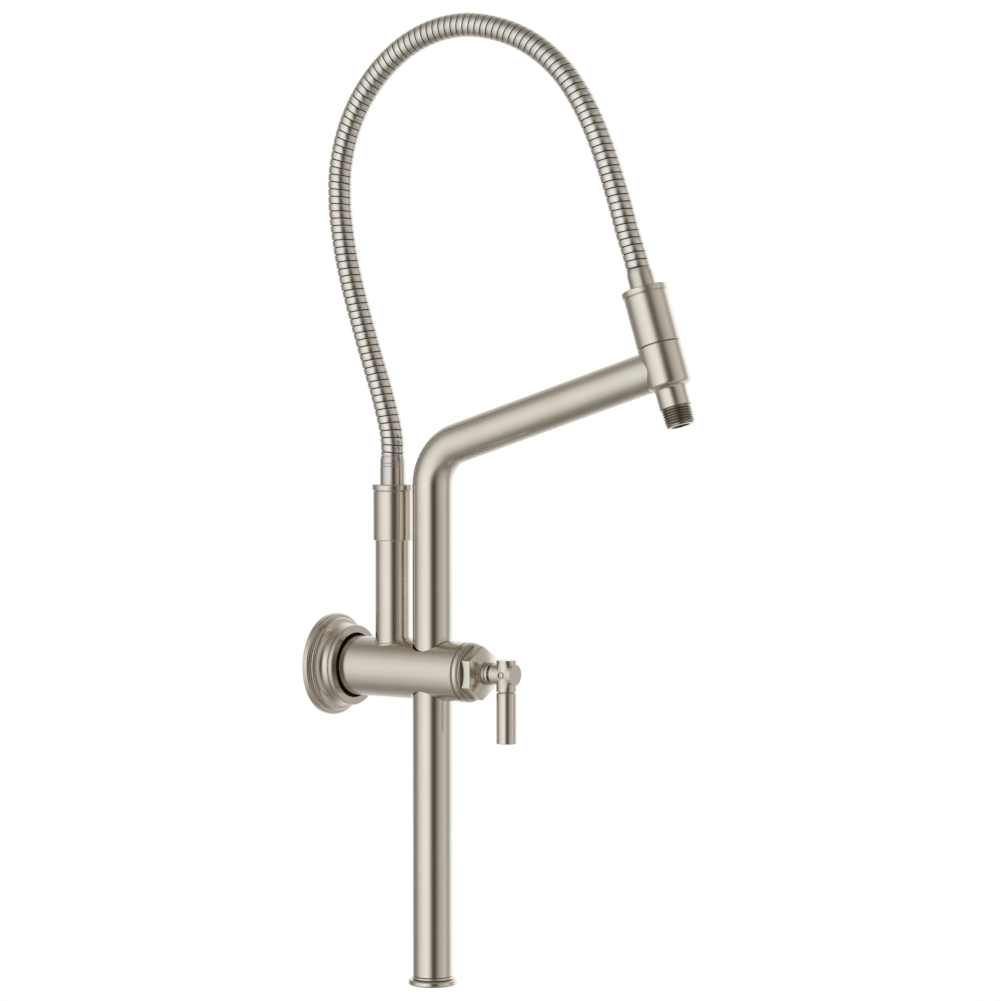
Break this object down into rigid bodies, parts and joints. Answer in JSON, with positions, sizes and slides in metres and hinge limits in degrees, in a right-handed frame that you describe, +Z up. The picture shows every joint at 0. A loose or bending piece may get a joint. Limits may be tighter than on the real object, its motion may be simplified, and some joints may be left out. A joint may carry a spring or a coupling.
{
  "type": "wall-mounted pre-rinse faucet column",
  "caption": "Wall-mounted pre-rinse faucet column with a sliding bent tube, a flexible metal hose, a T-lever clamp and a threaded outlet, in brushed nickel.",
  "frame": {"origin": "centre of the wall flange's back face, on the body's axis, in the plane of the wall", "axes": "+Y into the wall, -Y out along the body towards the lever, +Z up along the column, +X to the right as seen by someone who faces the wall"},
  "size_m": [0.0738, 0.3238, 0.6954],
  "materials": {
    "brushed_nickel": "warm satin nickel plate over brass",
    "stainless_steel": "turned stainless steel, satin",
    "metal_hose": "interlocked stripwound metal hose, satin",
    "plain_brass": "turned brass, bare",
    "spring_steel": "dark oiled spring steel",
    "black_acetal": "moulded black acetal",
    "black_rubber": "black sealing rubber"
  },
  "bodies": {
    "root": {"body_barrel": "brushed_nickel", "wall_nipple": "plain_brass", "flange_o_ring": "black_rubber", "riser_tube": "brushed_nickel", "lower_washer": "black_rubber", "lower_ferrule": "stainless_steel", "lower_hose_nut": "brushed_nickel", "front_ring": "brushed_nickel", "bonnet_washer": "stainless_steel", "hex_bonnet": "brushed_nickel", "gland_ring": "brushed_nickel", "gland_collar": "brushed_nickel", "spindle_seal": "black_rubber", "thrust_washer": "black_acetal", "hose_lower": "metal_hose"},
    "flange": {"wall_flange": "brushed_nickel"},
    "guide": {"guide_sleeve": "black_acetal", "upper_snap_ring": "spring_steel", "lower_snap_ring": "spring_steel", "hose_upper": "metal_hose"},
    "column": {"column_tube": "brushed_nickel", "foot_cap": "brushed_nickel", "outlet_fitting": "brushed_nickel", "upper_washer": "black_rubber", "upper_ferrule": "stainless_steel", "upper_hose_nut": "brushed_nickel"},
    "shoe": {"clamp_shoe": "plain_brass"},
    "handle": {"clamp_spindle": "stainless_steel", "handle_hub": "brushed_nickel", "lever_rod": "brushed_nickel", "grub_screw": "stainless_steel"}
  },
  "joints": [
    {"name": "column_swivel", "type": "hinge", "parent": "root", "child": "guide", "pos_m": [0, -0.0896, 0], "axis": [0, 0, 1], "range_deg": [-60, 60], "deforming": ["hose_lower"]},
    {"name": "column_slide", "type": "slide", "parent": "guide", "child": "column", "axis": [0, 0, 1], "range_m": [-0.09, 0.19], "deforming": ["hose_upper"]},
    {"name": "handle_turn", "type": "hinge", "parent": "root", "child": "handle", "pos_m": [0, -0.0896, 0], "axis": [0, -1, 0], "range_deg": [0, 180]},
    {"name": "shoe_slide", "type": "slide", "parent": "root", "child": "shoe", "axis": [0, -1, 0], "range_m": [0, 0.00101]},
    {"name": "flange_slide", "type": "slide", "parent": "root", "child": "flange", "axis": [0, -1, 0], "range_m": [0, 0.018]}
  ],
  "couplings": [
    {"joint": "shoe_slide", "follows": "handle_turn", "m_per_rad": 0.00031831}
  ]
}
